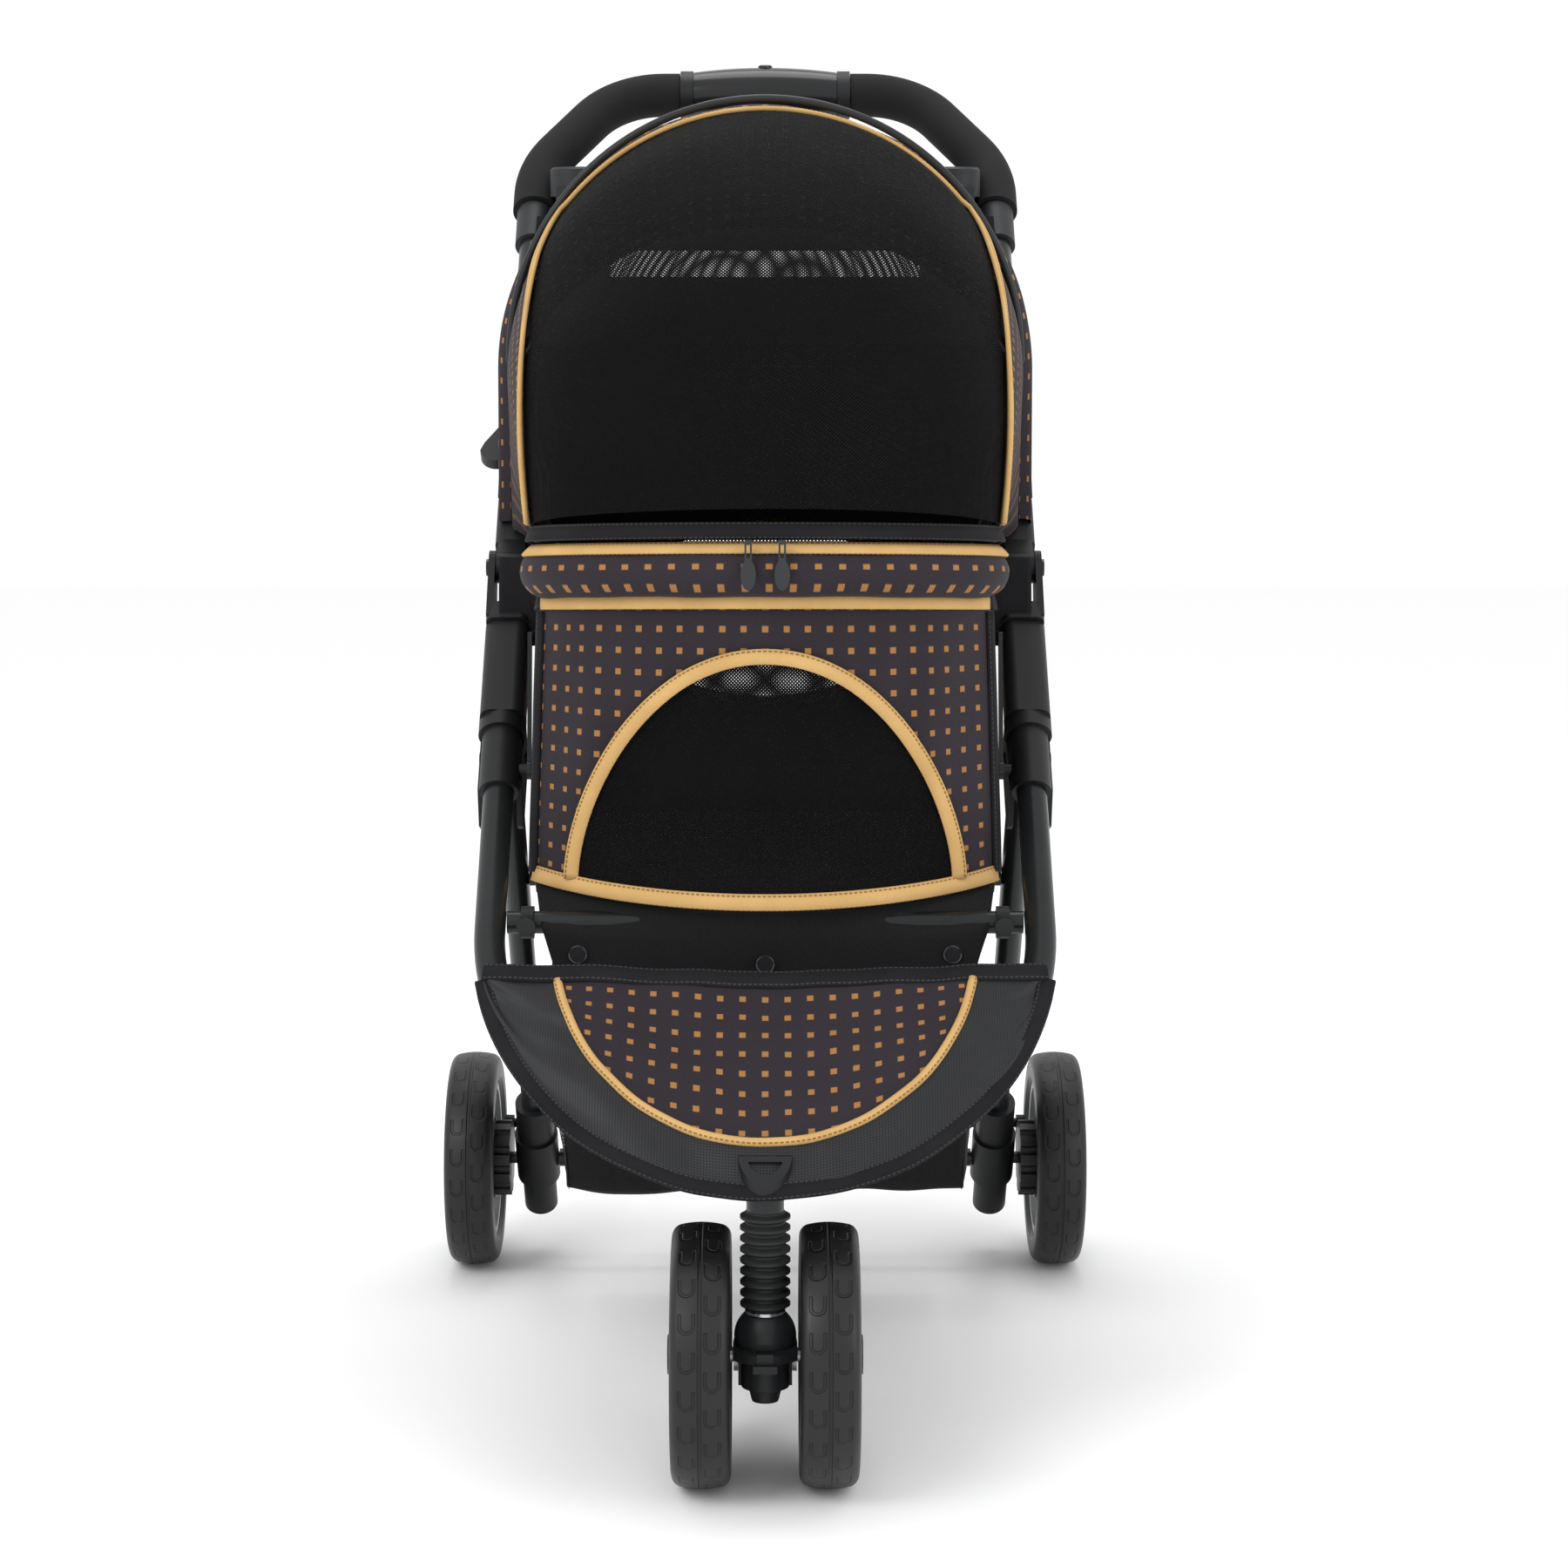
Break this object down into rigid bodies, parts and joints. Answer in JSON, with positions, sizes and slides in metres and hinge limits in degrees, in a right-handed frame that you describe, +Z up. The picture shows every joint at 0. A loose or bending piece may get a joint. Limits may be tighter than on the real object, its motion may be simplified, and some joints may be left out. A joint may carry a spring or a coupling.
{
  "type": "three-wheeled pet stroller",
  "caption": "Folding pet stroller with a zip-up mesh canopy, swivelling twin front wheel, braked rear wheels, parent tray and storage basket.",
  "frame": {"origin": "on the ground under the middle of the whole stroller's bounding box", "axes": "+Z up, -Y towards the front wheels, +X along the wheel axles"},
  "size_m": [0.534, 0.87, 1.012],
  "materials": {
    "frame_tube": "black powder coat, semi-gloss",
    "moulding": "fine textured black nylon",
    "gloss_moulding": "smooth black",
    "tray": "fine textured black",
    "bright_steel": "plated steel",
    "bellows_rubber": "matte black rubber",
    "tyre": "closed-cell foam tread, semi-matte",
    "rim": "light grey moulding",
    "foam": "matte black foam",
    "bow_wire": "black",
    "dotted_fabric": "dark brown-grey woven polyester with small bronze dots",
    "pad_cloth": "dark plush cloth",
    "mesh_net": "open black net",
    "binding": "tan binding tape",
    "zip_tape": "black coil zip",
    "zip_rubber": "dark grey rubber",
    "black_cloth": "black woven nylon",
    "snap": "faceted black snap cap"
  },
  "bodies": {
    "front_frame": {"front_legs": "frame_tube", "front_bow": "frame_tube", "front_crossbar": "frame_tube", "crossbar_clamps": "moulding", "joint_sleeves": "moulding", "hinge_brackets": "moulding", "pivot_pins": "bright_steel", "front_hub": "moulding", "stem_tube": "bright_steel", "bellows": "bellows_rubber", "suspension_spring": "bright_steel", "cabin_front_panel": "dotted_fabric", "cabin_sides": "dotted_fabric", "cabin_back_panel": "dotted_fabric", "cabin_floor": "dotted_fabric", "floor_pad": "pad_cloth", "window_meshes": "mesh_net", "bumper_roll": "dotted_fabric", "zipper": "zip_tape", "storage_basket": "black_cloth", "basket_snaps": "snap", "front_apron": "black_cloth"},
    "handle_frame": {"canopy_hubs": "moulding", "handle_tubes": "frame_tube", "handle_top_tube": "frame_tube", "foam_grips": "foam", "grip_collars": "moulding", "handle_housing_upper": "gloss_moulding", "handle_housing_lower": "gloss_moulding", "hinge_blocks": "moulding", "parent_tray": "tray", "canopy_rear_bow": "bow_wire", "rear_upper_panel": "dotted_fabric", "canopy_rear_panel": "dotted_fabric"},
    "fold_trigger": {"fold_trigger": "gloss_moulding"},
    "safety_button": {"safety_button": "gloss_moulding"},
    "storage_latch": {"storage_latch": "moulding"},
    "canopy_front": {"canopy_front_bow": "bow_wire", "canopy_front_panel": "dotted_fabric", "front_mesh": "mesh_net"},
    "mesh_hem": {"mesh_hem": "binding"},
    "zip_pulls": {"zip_pulls": "zip_rubber"},
    "rear_frame": {"rear_legs": "frame_tube", "rear_crossbar": "frame_tube", "rear_brackets": "moulding", "rear_axle": "bright_steel"},
    "brake": {"brake_bar": "moulding"},
    "side_links": {"side_links": "bright_steel"},
    "suspension_rod": {"piston_rod": "bright_steel"},
    "caster": {"caster_housing": "moulding", "front_axle": "bright_steel"},
    "swivel_lock": {"swivel_lock": "moulding"},
    "front_wheel_left": {"front_tyre_left": "tyre", "front_rim_left": "rim"},
    "front_wheel_right": {"front_tyre_right": "tyre", "front_rim_right": "rim"},
    "rear_wheel_left": {"rear_tyre_left": "tyre", "rear_rim_left": "rim"},
    "rear_wheel_right": {"rear_tyre_right": "tyre", "rear_rim_right": "rim"}
  },
  "joints": [
    {"name": "handle_fold", "type": "hinge", "parent": "front_frame", "child": "handle_frame", "pos_m": [0, 0.00196, 0.59976], "axis": [1, 0, 0], "range_deg": [0, 120], "deforming": ["cabin_front_panel", "cabin_sides", "cabin_back_panel", "cabin_floor", "floor_pad", "window_meshes", "bumper_roll", "zipper", "basket_snaps", "front_apron", "canopy_rear_panel", "rear_upper_panel", "storage_basket"]},
    {"name": "rear_leg_fold", "type": "hinge", "parent": "front_frame", "child": "rear_frame", "pos_m": [0, -0.07511, 0.46046], "axis": [1, 0, 0], "range_deg": [-57.2, 0]},
    {"name": "side_link_fold", "type": "hinge", "parent": "front_frame", "child": "side_links", "pos_m": [0, -0.11895, 0.45905], "axis": [1, 0, 0], "range_deg": [-1, 39.2]},
    {"name": "canopy_open", "type": "hinge", "parent": "handle_frame", "child": "canopy_front", "pos_m": [0, 0.03095, 0.60895], "axis": [-1, 0, 0], "range_deg": [0, 26], "deforming": ["front_mesh", "canopy_front_panel"]},
    {"name": "mesh_fold", "type": "hinge", "parent": "canopy_front", "child": "mesh_hem", "pos_m": [0, 0.03095, 0.60895], "axis": [-1, 0, 0], "range_deg": [0, 72], "deforming": ["mesh_hem"]},
    {"name": "front_suspension", "type": "slide", "parent": "front_frame", "child": "suspension_rod", "axis": [0, 0, 1], "range_m": [0, 0.012], "stiffness_N_per_m": 3500, "springref_m": -0.02, "deforming": ["bellows", "suspension_spring"]},
    {"name": "caster_swivel", "type": "hinge", "parent": "suspension_rod", "child": "caster", "pos_m": [0, -0.376, 0.1], "axis": [0, 0, 1], "continuous": true},
    {"name": "swivel_lock_slide", "type": "slide", "parent": "caster", "child": "swivel_lock", "axis": [0, 0, 1], "range_m": [0, 0.004]},
    {"name": "brake_press", "type": "hinge", "parent": "rear_frame", "child": "brake", "pos_m": [0, 0.2536, 0.10886], "axis": [-1, 0, 0], "range_deg": [0, 10]},
    {"name": "trigger_squeeze", "type": "slide", "parent": "handle_frame", "child": "fold_trigger", "axis": [0, 0, 1], "range_m": [0, 0.005], "stiffness_N_per_m": 400, "springref_m": -0.002},
    {"name": "safety_press", "type": "slide", "parent": "handle_frame", "child": "safety_button", "axis": [0, 0, -1], "range_m": [0, 0.003], "stiffness_N_per_m": 300, "springref_m": -0.002},
    {"name": "latch_turn", "type": "hinge", "parent": "handle_frame", "child": "storage_latch", "pos_m": [-0.194, 0.11368, 0.69168], "axis": [0, 0.7071, 0.7071], "range_deg": [-35, 35]},
    {"name": "zip_pull_swing", "type": "hinge", "parent": "front_frame", "child": "zip_pulls", "pos_m": [0, -0.28959, 0.63429], "axis": [-1, 0, 0], "range_deg": [0, 80]},
    {"name": "front_wheel_left_spin", "type": "hinge", "parent": "caster", "child": "front_wheel_left", "pos_m": [-0.043, -0.349, 0.089], "axis": [1, 0, 0], "continuous": true},
    {"name": "rear_wheel_left_spin", "type": "hinge", "parent": "rear_frame", "child": "rear_wheel_left", "pos_m": [-0.244, 0.211, 0.089], "axis": [1, 0, 0], "continuous": true},
    {"name": "front_wheel_right_spin", "type": "hinge", "parent": "caster", "child": "front_wheel_right", "pos_m": [0.043, -0.349, 0.089], "axis": [1, 0, 0], "continuous": true},
    {"name": "rear_wheel_right_spin", "type": "hinge", "parent": "rear_frame", "child": "rear_wheel_right", "pos_m": [0.244, 0.211, 0.089], "axis": [1, 0, 0], "continuous": true}
  ],
  "couplings": [
    {"joint": "rear_leg_fold", "follows": "handle_fold", "ratio": -0.43846},
    {"joint": "side_link_fold", "follows": "handle_fold", "ratio": 0.3},
    {"joint": "mesh_fold", "follows": "handle_fold", "ratio": 0.53846}
  ]
}
